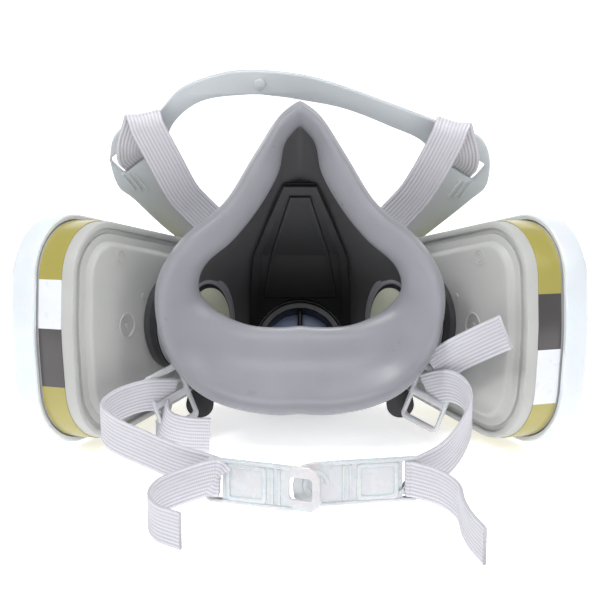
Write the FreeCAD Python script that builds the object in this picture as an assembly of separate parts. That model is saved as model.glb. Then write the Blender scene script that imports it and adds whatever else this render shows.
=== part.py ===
import FreeCAD, Part
import math
import os

# Half-face respirator mask with two swept-back filter cartridges, lying on its front.
# Millimetres. +X to the wearer's right, +Y the way the wearer looks, +Z up.
# Heights below are above the surface that the mask lies on. The frame's origin is the
# centre of the face opening, SEAL_HEIGHT above that surface.

Vec = FreeCAD.Vector

# ---- driving dimensions ----
SEAL_HEIGHT = 56.0       # face opening's centre above the surface
SEAL_LEAN = 0.14         # forward lean of the face seal, per mm of height
WALL = 3.0               # facepiece wall

PORT_CENTRE = Vec(-47.0, 33.0, 38.9)   # left inhalation port, on the cartridge's inner face
PORT_SWEEP = 32.0        # cartridge swept back, degrees
PORT_TILT = 6.0          # top of the cartridge leaning outward, degrees
PORT_SLOPE = 7.5         # cartridge's centre line sloping down to the front, degrees
PORT_R = 14.0            # connector tube
VALVE_DISC_R = 12.6      # inhalation flap
PORT_BORE_R = 11.5
LUG_R = 16.5             # bayonet lugs on the connector tube
SOCKET_R = 14.4          # socket in the cartridge's lid
SOCKET_DEEP_R = 17.0

CART_BACK = 53.0         # port axis to the wide end
CART_FRONT = 26.0        # port axis to the narrow end
CART_WIDE = 42.5         # half-height at the wide end
CART_NARROW = 27.0       # half-height at the narrow end
CART_BULGE = 3.0         # bow of the wide end
LID_H = 6.0              # lid's depth, from the inner face
BODY_H = 22.0            # body's outer end
RIM_H = 17.5             # where the retainer's skirt begins
STEP_H = 27.5            # retainer's first face
RETAINER_H = 35.5        # retainer's raised face

EXHALE_CENTRE = Vec(0.0, 50.0, 23.0)
EXHALE_PITCH = 25.0      # exhalation port pointing down, degrees
SEAT_R = 17.5            # exhalation valve's seat, its bore, and the flap
SEAT_BORE_R = 14.0
VALVE_R = 15.2
COVER_R = 22.0

BAR_Y = 46.0             # yoke's upper bars, the harness's hinge line
BAR_Z = 66.0
BAR_X = 29.0
BAR_R = 1.5

WEB_W = 12.5             # webbing width and thickness
WEB_T = 1.4
CRADLE_T = 1.8
SLOT_LONG = 15.4         # cradle's webbing slots
SLOT_WIDE = 8.6

os.makedirs("parts", exist_ok=True)


# ---- helpers ----
def save(node, shape):
    """Write one node, moved from heights above the surface to the frame's origin."""
    moved = shape.copy()
    moved.translate(Vec(0, 0, -SEAL_HEIGHT))
    moved.exportStep("parts/" + node + ".step")
    box = moved.BoundBox
    print("%-28s vol %9.1f  solids %d  valid %s  x %6.1f %6.1f  y %6.1f %6.1f  z %6.1f %6.1f" % (
        node, moved.Volume, len(moved.Solids), moved.isValid(),
        box.XMin, box.XMax, box.YMin, box.YMax, box.ZMin, box.ZMax))


def mirror(shape):
    return shape.mirror(Vec(0, 0, 0), Vec(1, 0, 0))


def catmull(points, steps):
    """Points of a smooth curve through the given points."""
    padded = [points[0] * 2 - points[1]] + list(points) + [points[-1] * 2 - points[-2]]
    curve = []
    for i in range(1, len(padded) - 2):
        a, b, c, d = padded[i - 1:i + 3]
        for k in range(steps):
            t = k / steps
            curve.append((b * 2 + (c - a) * t + (a * 2 - b * 5 + c * 4 - d) * t * t
                          + (b * 3 - a - c * 3 + d) * t * t * t) * 0.5)
    curve.append(points[-1])
    return curve


def ribbon(stops, steps=4, width=WEB_W, thick=WEB_T):
    """Flat strap through stops of (centre, width direction)."""
    centres = catmull([Vec(*stop[0]) for stop in stops], steps)
    widths = catmull([Vec(*stop[1]) for stop in stops], steps)
    sections = []
    for i, centre in enumerate(centres):
        along = centres[min(i + 1, len(centres) - 1)] - centres[max(i - 1, 0)]
        across = Vec(widths[i])
        across = across - along * (across.dot(along) / along.dot(along))
        across.normalize()
        normal = along.cross(across)
        normal.normalize()
        side = across * (width / 2)
        face = normal * (thick / 2)
        sections.append([centre + side + face, centre - side + face,
                         centre - side - face, centre + side - face])
    return skinned(sections)


def skinned(rings):
    """Solid whose skin is two flat triangles between each side of a ring and the next."""
    faces = [Part.Face(Part.makePolygon(ring + [ring[0]])) for ring in (rings[0], rings[-1])]
    for near, far in zip(rings, rings[1:]):
        for k in range(len(near)):
            nxt = (k + 1) % len(near)
            for corners in ((near[k], near[nxt], far[nxt]), (near[k], far[nxt], far[k])):
                faces.append(Part.Face(Part.makePolygon(list(corners) + [corners[0]])))
    shell = Part.makeShell(faces)
    shell.sewShape()
    solid = Part.makeSolid(shell)
    if solid.Volume < 0:
        solid.reverse()
    return solid


def frustum(centre, axis, near, far, radius, far_radius=None):
    """Round solid along axis, between two distances from centre."""
    base = centre + axis * near
    if far_radius is None or abs(far_radius - radius) < 1e-6:
        return Part.makeCylinder(radius, far - near, base, axis)
    return Part.makeCone(radius, far_radius, far - near, base, axis)


def tube(centre, axis, near, far, outer, inner):
    return frustum(centre, axis, near, far, outer).cut(
        frustum(centre, axis, near - 1, far + 1, inner))


# ---- facepiece ----
# Half outlines, (half-width, height) from the nose down to the chin.
SEAL_EDGE = [(0, 127.3), (8.2, 119.3), (17, 104), (27.3, 88), (41.4, 76.6), (50.2, 62.8),
             (51, 48.3), (46.5, 33.8), (37.6, 23), (25.7, 16.8), (10.3, 13.9), (0, 14.3)]
OPENING = [(0, 114.6), (5.4, 108), (7.4, 98), (14.4, 85.7), (23.5, 74.4), (33, 66.4),
           (35.9, 58.5), (33, 52.6), (26, 47.6), (17, 44.4), (7, 43.8), (0, 44.4)]
BODY = {
    14: [(0, 119), (8, 110), (15, 99), (24, 86), (35, 73), (43, 60),
         (45, 46), (42, 33), (32, 22.5), (20, 15.5), (9, 12), (0, 11)],
    30: [(0, 102), (7, 97), (13, 90), (20, 79), (28, 68), (36, 56),
         (40, 44), (38, 31), (31, 21), (20, 13), (9, 9), (0, 8)],
    45: [(0, 84), (5, 81), (10, 75), (15, 68), (21, 60), (26, 51),
         (28, 41), (27, 31), (23, 21), (16, 13.5), (8, 10.5), (0, 10)],
    54: [(0, 67), (4, 65.5), (8, 62), (12, 56), (16, 49), (18, 42),
         (18, 34), (17, 28), (14, 22), (10, 18), (5, 16.2), (0, 16)],
}
RING_STEPS = 3


def half_ring(half):
    return catmull([Vec(x, 0, z) for x, z in half], RING_STEPS)


def mix(a, b, share):
    return [p * (1 - share) + q * share for p, q in zip(a, b)]


def shrink(half, amount):
    """Half outline moved in towards its own middle by amount."""
    top, low = half[0].z, half[-1].z
    middle = Vec(0, 0, (top + low) / 2)
    moved = []
    for point in half:
        ray = point - middle
        moved.append(middle + ray * ((ray.Length - amount) / ray.Length))
    return moved


def ring_wire(half, depth, lean):
    """Closed outline at depth y, leaning forward with height."""
    def place(point, side):
        return Vec(point.x * side, depth + lean * (point.z - SEAL_HEIGHT), point.z)
    ring = [place(p, 1) for p in half] + [place(p, -1) for p in reversed(half[1:-1])]
    return Part.makePolygon(ring + [ring[0]])


def facepiece_shell():
    edge = half_ring(SEAL_EDGE)
    opening = half_ring(OPENING)
    body = {y: half_ring(BODY[y]) for y in BODY}
    outer = [ring_wire(mix(edge, opening, 0.2), -1.5, SEAL_LEAN),
             ring_wire(edge, 2.5, SEAL_LEAN),
             ring_wire(shrink(edge, 1.5), 6.5, SEAL_LEAN),
             ring_wire(body[14], 14, 0.03),
             ring_wire(body[30], 30, 0),
             ring_wire(body[45], 45, 0),
             ring_wire(body[54], 54, 0)]
    inner = [ring_wire(mix(edge, opening, 0.27), -1.7, SEAL_LEAN),
             ring_wire(mix(edge, opening, 0.6), 1.5, SEAL_LEAN),
             ring_wire(opening, 9, SEAL_LEAN),
             ring_wire(shrink(body[14], WALL + 3), 17, 0.03),
             ring_wire(shrink(body[30], WALL), 29, 0),
             ring_wire(shrink(body[45], WALL), 43, 0),
             ring_wire(shrink(body[54], WALL), 51, 0)]
    return Part.makeLoft(outer, True, True).cut(Part.makeLoft(inner, True, True))


# ---- inhalation ports and cartridges: left side, the right mirrors it ----
def cartridge_axes():
    sweep = math.radians(PORT_SWEEP)
    tilt = math.radians(PORT_TILT)
    slope = math.radians(PORT_SLOPE)
    level = Vec(-math.cos(sweep), math.sin(sweep), 0)
    forward = Vec(math.sin(sweep), math.cos(sweep), 0)
    up = Vec(0, 0, 1)
    outward = level * math.cos(tilt) - up * math.sin(tilt)
    rise = up * math.cos(tilt) + level * math.sin(tilt)
    along = forward * math.cos(slope) - rise * math.sin(slope)
    across = rise * math.cos(slope) + forward * math.sin(slope)
    return outward, along, across


OUT, ALONG, ACROSS = cartridge_axes()


def on_cartridge(along, across, height):
    return PORT_CENTRE + ALONG * along + ACROSS * across + OUT * height


def corner_points():
    """Corners of the cartridge's outline, with their radii."""
    return [(-CART_BACK - CART_BULGE, 0.0, 90.0), (-CART_BACK, -CART_WIDE, 20.0),
            (CART_FRONT, -CART_NARROW, 14.0), (CART_FRONT, CART_NARROW, 14.0),
            (-CART_BACK, CART_WIDE, 20.0)]


def offset_corners(inset):
    corners = corner_points()
    count = len(corners)
    moved = []
    for i in range(count):
        before, here, after = corners[i - 1], corners[i], corners[(i + 1) % count]
        d1 = Vec(here[0] - before[0], here[1] - before[1], 0)
        d2 = Vec(after[0] - here[0], after[1] - here[1], 0)
        d1.normalize()
        d2.normalize()
        n1 = Vec(-d1.y, d1.x, 0)
        n2 = Vec(-d2.y, d2.x, 0)
        reach = inset / (1 + n1.dot(n2))
        point = Vec(here[0], here[1], 0) + (n1 + n2) * reach
        moved.append((point, max(here[2] - inset, 1.0)))
    return moved


def outline(inset, height):
    """Rounded outline of the cartridge, moved in by inset, at a height along its axis."""
    corners = offset_corners(inset)
    count = len(corners)
    arcs = []
    for i in range(count):
        point, radius = corners[i]
        before = corners[i - 1][0] - point
        after = corners[(i + 1) % count][0] - point
        before.normalize()
        after.normalize()
        half = before.getAngle(after) / 2
        reach = radius / math.tan(half)
        bisector = before + after
        bisector.normalize()
        start = point + before * reach
        end = point + after * reach
        middle = point + bisector * (radius / math.sin(half) - radius)
        arcs.append([on_cartridge(p.x, p.y, height) for p in (start, middle, end)])
    edges = []
    for i in range(count):
        edges.append(Part.Arc(*arcs[i]).toShape())
        edges.append(Part.LineSegment(arcs[i][2], arcs[(i + 1) % count][0]).toShape())
    return Part.Wire(edges)


def slab(inset, near, far, far_inset=None):
    """Solid between two heights on the cartridge's outline."""
    if far_inset is None:
        return Part.Face(outline(inset, near)).extrude(OUT * (far - near))
    return Part.makeLoft([outline(inset, near), outline(far_inset, far)], True, True)


def inhalation_port():
    """Connector tube with its collar, bayonet lugs and valve spider."""
    port = tube(PORT_CENTRE, OUT, -16, 5, PORT_R, PORT_BORE_R)
    port = port.fuse(tube(PORT_CENTRE, OUT, -6, -3.2, 18.4, PORT_R - 0.5))
    for i in range(3):
        spoke = Part.makeBox(PORT_BORE_R + 0.6, 1.6, 2.0, Vec(0, -0.8, -1.0))
        spoke.rotate(Vec(0, 0, 0), Vec(0, 0, 1), 120 * i + 30)
        lug = tube(Vec(0, 0, 0), Vec(0, 0, 1), 2.4, 4.4, LUG_R, PORT_R - 0.5)
        wedge = Part.makeBox(20, 8, 4, Vec(6, -4, 1.6))
        wedge.rotate(Vec(0, 0, 0), Vec(0, 0, 1), 120 * i + 30)
        lug = lug.common(wedge)
        for piece, lift in ((spoke, -13.4), (lug, 0.0)):
            port = port.fuse(to_port(piece, lift))
    port = port.fuse(frustum(PORT_CENTRE, OUT, -14.4, -12.4, 2.6))
    return port.removeSplitter()


def to_port(shape, lift):
    """Place a shape made about +Z onto the port's axis."""
    moved = shape.copy()
    turn = FreeCAD.Matrix(ALONG.x, ACROSS.x, OUT.x, PORT_CENTRE.x + OUT.x * lift,
                          ALONG.y, ACROSS.y, OUT.y, PORT_CENTRE.y + OUT.y * lift,
                          ALONG.z, ACROSS.z, OUT.z, PORT_CENTRE.z + OUT.z * lift,
                          0, 0, 0, 1)
    return moved.transformGeometry(turn)


def cartridge_lid():
    """Stepped inner lid: rim bead, groove, ledge and plateau, with the bayonet socket."""
    lid = slab(0.0, 3.2, LID_H)
    lid = lid.fuse(slab(0.0, 1.9, 3.3).cut(slab(2.4, 1.0, 4.0)))
    lid = lid.fuse(slab(4.2, 2.2, 3.3))
    lid = lid.fuse(slab(8.0, 0.0, 3.3, 6.6))
    lid = lid.fuse(frustum(PORT_CENTRE, OUT, LID_H - 0.2, 9.0, SOCKET_DEEP_R + 1.8))
    lid = lid.cut(frustum(PORT_CENTRE, OUT, -1, 10, SOCKET_R))
    lid = lid.cut(frustum(PORT_CENTRE, OUT, 1.9, 6.4, SOCKET_DEEP_R))
    for i in range(3):
        notch = Part.makeBox(SOCKET_DEEP_R, 9.4, 4.0, Vec(0, -4.7, -1.0))
        notch.rotate(Vec(0, 0, 0), Vec(0, 0, 1), 120 * i - 15)
        keep = Part.makeCylinder(SOCKET_DEEP_R, 4.0, Vec(0, 0, -1.0))
        lid = lid.cut(to_port(notch.common(keep), 0.0))
    dimple = on_cartridge(-27, 1, 0)
    lid = lid.cut(frustum(dimple, OUT, -1, 0.7, 3.9))
    lid = lid.fuse(frustum(dimple, OUT, 0.6, 1.0, 1.1))
    return lid


def cartridge_body():
    shell = slab(0.0, LID_H, BODY_H).cut(slab(1.5, LID_H - 1, BODY_H - 1.5))
    return shell.cut(slab(5.0, BODY_H - 2, BODY_H + 1))


def outer_screen():
    screen = slab(1.7, BODY_H - 2.7, BODY_H - 1.7)
    for i in range(-3, 2):
        for j in range(-2, 3):
            hole = frustum(on_cartridge(i * 12.0 + 4, j * 10.5, 0), OUT, BODY_H - 4, BODY_H, 3.4)
            screen = screen.cut(hole)
    return screen


def retainer():
    """White snap-on retainer: skirt over the cartridge, first face, raised face with windows."""
    skirt = slab(-2.5, RIM_H, STEP_H - 1.2).cut(slab(-0.4, RIM_H - 1, STEP_H - 2.2))
    face = slab(-2.5, STEP_H - 1.3, STEP_H, -1.3)
    top = slab(4.5, STEP_H - 0.1, RETAINER_H, 6.5)
    cap = skirt.fuse(face).fuse(top)
    cap = cap.cut(slab(5.6, STEP_H - 3, RETAINER_H - 1.8, 7.6))
    for low, high in ((-44.0, -17.5), (-14.5, 14.5)):
        window = Part.makeBox(high - low, 32.0, 8.0, Vec(low, -16.0, RETAINER_H - 5))
        cap = cap.cut(to_port(window, 0.0))
    return cap


def cartridge_pieces():
    bed = slab(1.8, 9.4, BODY_H - 3.0)
    return {
        "cartridge_body": cartridge_body(),
        "cartridge_lid": cartridge_lid(),
        "cartridge_label": slab(-0.3, LID_H + 0.6, RIM_H - 0.7).cut(slab(0.0, LID_H, RIM_H)),
        "charcoal_bed": bed,
        "outer_screen": outer_screen(),
        "inner_filter_disc": slab(1.8, 9.05, 9.35),
        "prefilter_pad": slab(1.0, BODY_H + 0.4, STEP_H - 2.3),
        "retainer": retainer(),
    }


# ---- exhalation valve, centre adapter and harness yoke ----
pitch = math.radians(EXHALE_PITCH)
BLOW = Vec(0, math.cos(pitch), -math.sin(pitch))


def center_adapter():
    """Rigid six-sided front frame inside the facepiece, with the exhalation valve's seat."""
    upper = [Vec(-6.2, 33.5, 91), Vec(6.2, 33.5, 91), Vec(17.5, 42.0, 62), Vec(-17.5, 42.0, 62)]
    lower = [upper[3], upper[2], Vec(19, 48.2, 33), Vec(-19, 48.2, 33)]
    plates = []
    for corners in (upper, lower):
        normal = (corners[1] - corners[0]).cross(corners[2] - corners[1])
        normal.normalize()
        thick = normal * (2.0 if normal.y < 0 else -2.0)
        plates.append(Part.Face(Part.makePolygon(corners + [corners[0]])).extrude(thick))
    seat = frustum(EXHALE_CENTRE, BLOW, -8.5, 8, SEAT_R)
    frame = plates[0].fuse(plates[1])
    frame = frame.fuse(seat)
    frame = frame.cut(frustum(EXHALE_CENTRE, BLOW, -12, 8, SEAT_BORE_R))
    frame = frame.cut(frustum(EXHALE_CENTRE, BLOW, 5, 9, VALVE_R + 0.6))
    for i in range(4):
        spoke = Part.makeCylinder(0.9, 14.4, EXHALE_CENTRE - BLOW, turned(45.0 * (2 * i + 2)))
        frame = frame.fuse(spoke)
    return frame.fuse(frustum(EXHALE_CENTRE, BLOW, -2.0, 0.2, 2.2))


def turned(angle):
    """Direction across the exhalation port, at an angle from the wearer's right."""
    rise = Vec(0, math.sin(pitch), math.cos(pitch))
    return Vec(1, 0, 0) * math.cos(math.radians(angle)) + rise * math.sin(math.radians(angle))


def valve_cover():
    cover = tube(EXHALE_CENTRE, BLOW, 6.0, 12.0, COVER_R, SEAT_R + 0.3)
    cover = cover.fuse(frustum(EXHALE_CENTRE, BLOW, 11.0, 13.5, COVER_R, COVER_R - 3.5))
    for i in range(-2, 3):
        slot = frustum(EXHALE_CENTRE, turned(270 + 22 * i), 12, 30, 2.0)
        slot.translate(BLOW * 8.6)
        cover = cover.cut(slot)
    under = Part.makeBox(80, 80, 40, Vec(-40, 20, -40))
    return cover.cut(under)


def harness_yoke():
    """Black yoke: ring round the exhalation housing, two upper arms with bars, two lower arms."""
    yoke = tube(EXHALE_CENTRE, BLOW, 2.6, 5.4, COVER_R, SEAT_R + 0.3)
    inside = frustum(EXHALE_CENTRE, BLOW, -8, 12, SEAT_R + 0.3)
    pieces = []
    for side in (-1, 1):
        corner = Vec(side * (BAR_X - WEB_W / 2 - 2.4), BAR_Y, BAR_Z)
        tip = Vec(side * (BAR_X + WEB_W / 2 + 1.0), BAR_Y, BAR_Z)
        upper = [on_ring(side, 50, 3.4), Vec(side * 19.5, 60, 44), Vec(side * 21, 55, 56), corner]
        pieces.append(rod(upper, 2.0))
        pieces.append(rod([corner, tip], BAR_R))
        lower = [on_ring(side, -25, 3.0), Vec(side * 29, 41, 10), Vec(side * 36, 29, 9.5),
                 Vec(side * 37, 19, 11)]
        pieces.append(rod(lower, 2.6))
        boss = Part.makeCylinder(5.0, 5.0, Vec(side * 36.5, 15.5, 12), Vec(0, 1, 0))
        pieces.append(boss)
    under = Part.makeBox(120, 120, 40, Vec(-60, -20, -40))
    for piece in pieces:
        yoke = yoke.fuse(piece.cut(inside))
    return yoke.cut(under)


def on_ring(side, angle, height):
    """Point on the yoke's ring, on one side, at an angle above the horizontal."""
    out = turned(angle) * 20.0
    return EXHALE_CENTRE + BLOW * height + Vec(side * out.x, out.y, out.z)


def rod(points, radius):
    """Round rod along straight runs, with a ball at each point."""
    solid = Part.makeSphere(radius, points[0])
    for start, end in zip(points, points[1:]):
        run = end - start
        solid = solid.fuse(Part.makeCylinder(radius, run.Length, start, run))
        solid = solid.fuse(Part.makeSphere(radius, end))
    return solid


# ---- straps, sliders, cradle and buckle ----
def strap_slider():
    """Left three-bar slider, leaning outward at the top."""
    frame = Part.makeBox(15.5, 2.6, 22.0, Vec(-7.75, -1.3, 0))
    for low in (2.2, 12.4):
        frame = frame.cut(Part.makeBox(12.9, 6.0, 7.4, Vec(-6.45, -3.0, low)))
    frame.rotate(Vec(0, 0, 0), Vec(0, 0, 1), 32)
    frame.rotate(Vec(0, 0, 0), Vec(0, 1, 0), -20)
    frame.translate(Vec(-42.5, 7.0, 7.0))
    return frame


UPPER_LEFT = [((-29, 48.2, 67.4), (1, 0, 0)), ((-29, 48.2, 64.6), (1, 0, 0)),
              ((-29, 46, 63.4), (1, 0, 0)), ((-29, 43.8, 64.6), (1, 0, 0)),
              ((-29.1, 43.2, 67.4), (1, 0, 0)), ((-30.6, 43.2, 71), (0.97, 0, 0.18)),
              ((-34, 43, 75), (0.9, 0, 0.34)), ((-38.6, 42, 80), (0.9, 0, 0.4)),
              ((-43.2, 39.8, 86), (0.93, 0, 0.37)), ((-48.8, 36, 98), (0.95, 0, 0.3)),
              ((-54.4, 33.2, 110), (0.98, 0, 0.15)), ((-55.9, 33.7, 114.2), (0.98, 0, 0.16)),
              ((-57, 36.6, 114.8), (0.96, 0, 0.24)), ((-58.6, 39.2, 110), (0.88, 0, 0.45)),
              ((-61.1, 42.2, 102), (0.77, -0.14, 0.61)),
              ((-61.4, 46.5, 98.2), (0.757, -0.23, 0.61)), ((-59.9, 51.9, 95), (0.757, -0.16, 0.62)),
              ((-56, 55.8, 87.5), (0.78, 0, 0.6)), ((-52, 59.2, 79.5), (0.83, 0, 0.55)),
              ((-49, 61.2, 74), (0.85, 0, 0.5))]
UPPER_RIGHT = [((29, 48.2, 67.4), (1, 0, 0)), ((29, 48.2, 64.6), (1, 0, 0)),
               ((29, 46, 63.4), (1, 0, 0)), ((29, 43.8, 64.6), (1, 0, 0)),
               ((29.1, 43.2, 67.4), (1, 0, 0)), ((30.6, 43.2, 71), (0.97, 0, -0.18)),
               ((34, 43, 75), (0.9, 0, -0.34)), ((38.4, 42, 80), (0.9, 0, -0.4)),
               ((42.8, 39.8, 86), (0.93, 0, -0.37)), ((48, 36, 96), (0.94, 0, -0.32)),
               ((53, 33.4, 107), (0.96, 0, -0.24)), ((54.6, 34, 111.2), (0.97, 0, -0.22)),
               ((55.8, 37, 111.8), (0.95, 0, -0.3)), ((57.4, 39.6, 107), (0.88, 0, -0.46)),
               ((59.6, 43.2, 99), (0.82, 0.14, -0.55)),
               ((59.7, 47.6, 95.2), (0.814, 0.206, -0.543)), ((58.4, 53, 92), (0.82, 0.16, -0.55)),
               ((55.4, 56.6, 85.5), (0.83, 0, -0.55)), ((52.3, 59.6, 79), (0.85, 0, -0.52)),
               ((49.8, 61.4, 74), (0.85, 0, -0.5))]
LOWER_LEFT = [((-45.5, 8.6, 18), (0.3, 0.1, 0.95)), ((-55, 0, 20.5), (0.25, 0, 0.97)),
              ((-64, -11, 20.5), (0.1, 0, 1)), ((-68, -22, 19), (0, 0, 1)),
              ((-63.5, -31, 17), (0.1, 0, 1)), ((-53, -38, 14.5), (0.1, 0, 1)),
              ((-41, -44, 11.5), (0.05, 0, 1)), ((-29.6, -48.4, 9.6), (0, 0, 1))]
LOWER_RIGHT = [((45.5, 8.6, 20), (-0.3, 0.1, 0.95)), ((52, 0.5, 24), (-0.2, 0, 0.97)),
               ((57, -11, 25), (-0.1, 0, 1)), ((58.5, -23, 22.5), (0, 0, 1)),
               ((55, -33.5, 17), (0, 0, 1)), ((48, -42, 11.5), (0, 0, 1)),
               ((37.6, -48.2, 8.3), (0, 0, 1))]
SHORT_LEFT = [((-49.5, 6.6, 12.5), (0.3, 0, 0.9)), ((-48, 0, 9), (0.3, 0, 0.95)),
              ((-41, -3.5, 7.6), (0.1, 0, 1)), ((-32, -3, 6.9), (0, 0, 1))]
SHORT_RIGHT = [((48, 5.5, 29), (-0.35, 0, 0.93)), ((55, -1.5, 36), (-0.35, 0, 0.93)),
               ((64, -10, 43.5), (-0.25, 0, 0.96)), ((70, -19.5, 49.5), (-0.15, 0, 0.98))]
TAIL_LEFT = [((-29, -53.4, 9.6), (0, 0, 1)), ((-38, -57, 8), (0, 0, 1)),
             ((-45.5, -64, 7), (0, 0, 1)), ((-48, -74, 6.5), (0, 0, 1)),
             ((-45, -84.5, 6.3), (0, 0, 1)), ((-37, -92, 6.3), (0, 0, 1))]
TAIL_RIGHT = [((37.6, -52.4, 8.3), (0, 0, 1)), ((46, -57, 7.2), (0, 0, 1)),
              ((51, -67, 6.5), (0, 0, 1)), ((51.5, -80, 6.3), (0, 0, 1)),
              ((53, -92, 6.3), (0, 0, 1)), ((56, -104, 6.3), (0, 0, 1))]

CRADLE_ORIGIN = Vec(0, 64, 52)
CRADLE_UP = Vec(0, -0.355, 0.935)
CRADLE_OUTER = [(0, 129.4), (-15.9, 131), (-28.5, 129.8), (-43, 124), (-53, 113.5), (-66, 108),
                (-70, 98), (-68, 86), (-62, 80), (-51, 68), (-37, 56), (-22, 48.4), (0, 48),
                (22, 48.4), (37, 56), (51, 68), (64, 80), (69.5, 86), (70, 97), (66, 105),
                (58, 108.2), (36.5, 116.8), (14.8, 125.2)]
CRADLE_INNER = [(0, 120), (-9, 121.4), (-19, 122), (-35.8, 119.4), (-46.6, 110), (-49, 98),
                (-48.5, 84), (-42.5, 73), (-29, 63), (-18, 57), (0, 56.8), (18, 57), (29, 63),
                (42.5, 73), (48.5, 82), (49, 92), (45.5, 103), (33, 109.6), (16, 116.6)]


def on_cradle(x, height):
    """Point in the cradle's leaning plane at a height above the surface."""
    return CRADLE_ORIGIN + Vec(x, 0, 0) + CRADLE_UP * ((height - CRADLE_ORIGIN.z) / CRADLE_UP.z)


def closed_curve(points):
    curve = Part.BSplineCurve()
    curve.interpolate([on_cradle(x, z) for x, z in points], PeriodicFlag=True)
    return Part.Wire(curve.toShape())


def head_cradle():
    """Flat plastic ring with a slotted paddle at each end, grip ridges and a stud."""
    normal = Vec(1, 0, 0).cross(CRADLE_UP)
    normal.normalize()
    if normal.y < 0:
        normal = normal * -1
    plate = Part.Face(closed_curve(CRADLE_OUTER)).extrude(normal * CRADLE_T)
    plate = plate.cut(Part.Face(closed_curve(CRADLE_INNER)).extrude(normal * 20).translated(normal * -5))
    for x, z, lean in ((-61.9, 98.2, 0.75), (60.2, 95.2, -0.62)):
        along = (Vec(1, 0, 0) + CRADLE_UP * (lean * 1.15))
        along.normalize()
        across = normal.cross(along)
        centre = on_cradle(x, z)
        corner = [centre + along * (sx * SLOT_LONG / 2) + across * (sy * SLOT_WIDE / 2) - normal * 4
                  for sx, sy in ((-1, -1), (1, -1), (1, 1), (-1, 1))]
        slot = Part.Face(Part.makePolygon(corner + [corner[0]])).extrude(normal * 10)
        plate = plate.cut(slot)
    stud = frustum(on_cradle(-14.5, 126.4), normal * -1, -0.5, 1.4, 2.2)
    return plate.fuse(stud)


def buckle_half(length, hook):
    """Flat clear plate with a webbing window, along +X from its webbing end, standing on edge."""
    plate = Part.makeBox(length, 2.4, 15.4, Vec(0, -1.2, 0))
    plate = plate.cut(Part.makeBox(3.0, 6, 12.9, Vec(3.4, -3, 1.25)))
    plate = plate.cut(Part.makeBox(7.0, 6, 12.9, Vec(8.8, -3, 1.25)))
    if hook:
        plate = plate.cut(Part.makeBox(5.0, 6, 7.0, Vec(length - 8.5, -3, -1)))
    else:
        plate = plate.cut(Part.makeBox(8.0, 6, 7.8, Vec(length - 10.5, -3, 3.8)))
    return plate


def placed(shape, start, end):
    """Turn a shape from +X to the run from start to end, and put its beginning at start."""
    moved = shape.copy()
    run = end - start
    moved.rotate(Vec(0, 0, 0), Vec(0, 0, 1), math.degrees(math.atan2(run.y, run.x)))
    moved.translate(start)
    return moved


def main():
    adapter = center_adapter()
    port = inhalation_port()
    ports = {"left": port, "right": mirror(port)}

    shell = facepiece_shell()
    boss = frustum(PORT_CENTRE, OUT, -15, -6.2, 18.6)
    for bossed in (boss, mirror(boss)):
        shell = shell.fuse(bossed)
    bore = frustum(PORT_CENTRE, OUT, -30, 0, PORT_R)
    for cutter in (bore, mirror(bore), frustum(EXHALE_CENTRE, BLOW, -20, 20, SEAT_R)):
        shell = shell.cut(cutter)
    save("facepiece", shell.cut(adapter))
    save("center_adapter", adapter)

    valve = frustum(PORT_CENTRE, OUT, -16.9, -16.3, VALVE_DISC_R)
    gasket = tube(PORT_CENTRE, OUT, -3.2, -0.4, 18.0, PORT_R)
    slider = strap_slider()
    for name, shape in (("inhalation_port", port), ("inhalation_valve", valve),
                        ("port_gasket", gasket), ("strap_slider", slider)):
        save(name + "_left", shape)
        save(name + "_right", mirror(shape))
    for name, shape in cartridge_pieces().items():
        save(name + "_left", shape)
        save(name + "_right", mirror(shape))

    save("exhalation_valve", frustum(EXHALE_CENTRE, BLOW, 5.1, 5.8, VALVE_R))
    save("exhalation_valve_cover", valve_cover())
    save("harness_yoke", harness_yoke())
    save("upper_strap_left", ribbon(UPPER_LEFT))
    save("upper_strap_right", ribbon(UPPER_RIGHT))
    save("head_cradle", head_cradle())
    for side, runs in (("left", (LOWER_LEFT, SHORT_LEFT, TAIL_LEFT)),
                       ("right", (LOWER_RIGHT, SHORT_RIGHT, TAIL_RIGHT))):
        frame = slider if side == "left" else mirror(slider)
        save("lower_strap_" + side, Part.makeCompound([ribbon(run).cut(frame).Solids[0] for run in runs]))
    save("buckle_loop", placed(buckle_half(40.0, False), Vec(-31.5, -50.4, 0.5), Vec(6, -62.6, 0.5)))
    save("buckle_hook", placed(buckle_half(43.0, True), Vec(40, -50.0, 0.5), Vec(-2, -57.2, 0.5)))


main()
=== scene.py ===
import math
import bpy
import bmesh
from mathutils import Matrix, Vector


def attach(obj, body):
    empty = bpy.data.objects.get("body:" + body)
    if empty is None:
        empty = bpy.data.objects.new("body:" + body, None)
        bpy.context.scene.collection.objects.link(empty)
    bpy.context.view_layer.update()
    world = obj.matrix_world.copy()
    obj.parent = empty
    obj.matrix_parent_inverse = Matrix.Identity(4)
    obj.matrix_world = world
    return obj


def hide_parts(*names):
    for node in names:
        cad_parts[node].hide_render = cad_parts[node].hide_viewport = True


# Looks for the half-face respirator mask. Lengths are in millimetres as in the CAD part, with z
# up from the surface that the mask lies on. at() turns a place into metres in the shared frame.

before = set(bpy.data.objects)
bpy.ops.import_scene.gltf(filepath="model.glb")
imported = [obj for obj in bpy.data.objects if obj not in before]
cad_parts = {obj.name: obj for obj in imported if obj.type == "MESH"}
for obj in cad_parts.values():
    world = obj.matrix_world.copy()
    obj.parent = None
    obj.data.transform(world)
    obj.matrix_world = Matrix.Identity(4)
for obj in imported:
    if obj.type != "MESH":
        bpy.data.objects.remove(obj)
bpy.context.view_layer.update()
scene = bpy.context.scene

MM = 0.001
SEAL_HEIGHT = 56.0
SEAL_LEAN = 0.14
RIGHT = Vector((1, 0, 0))

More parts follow.
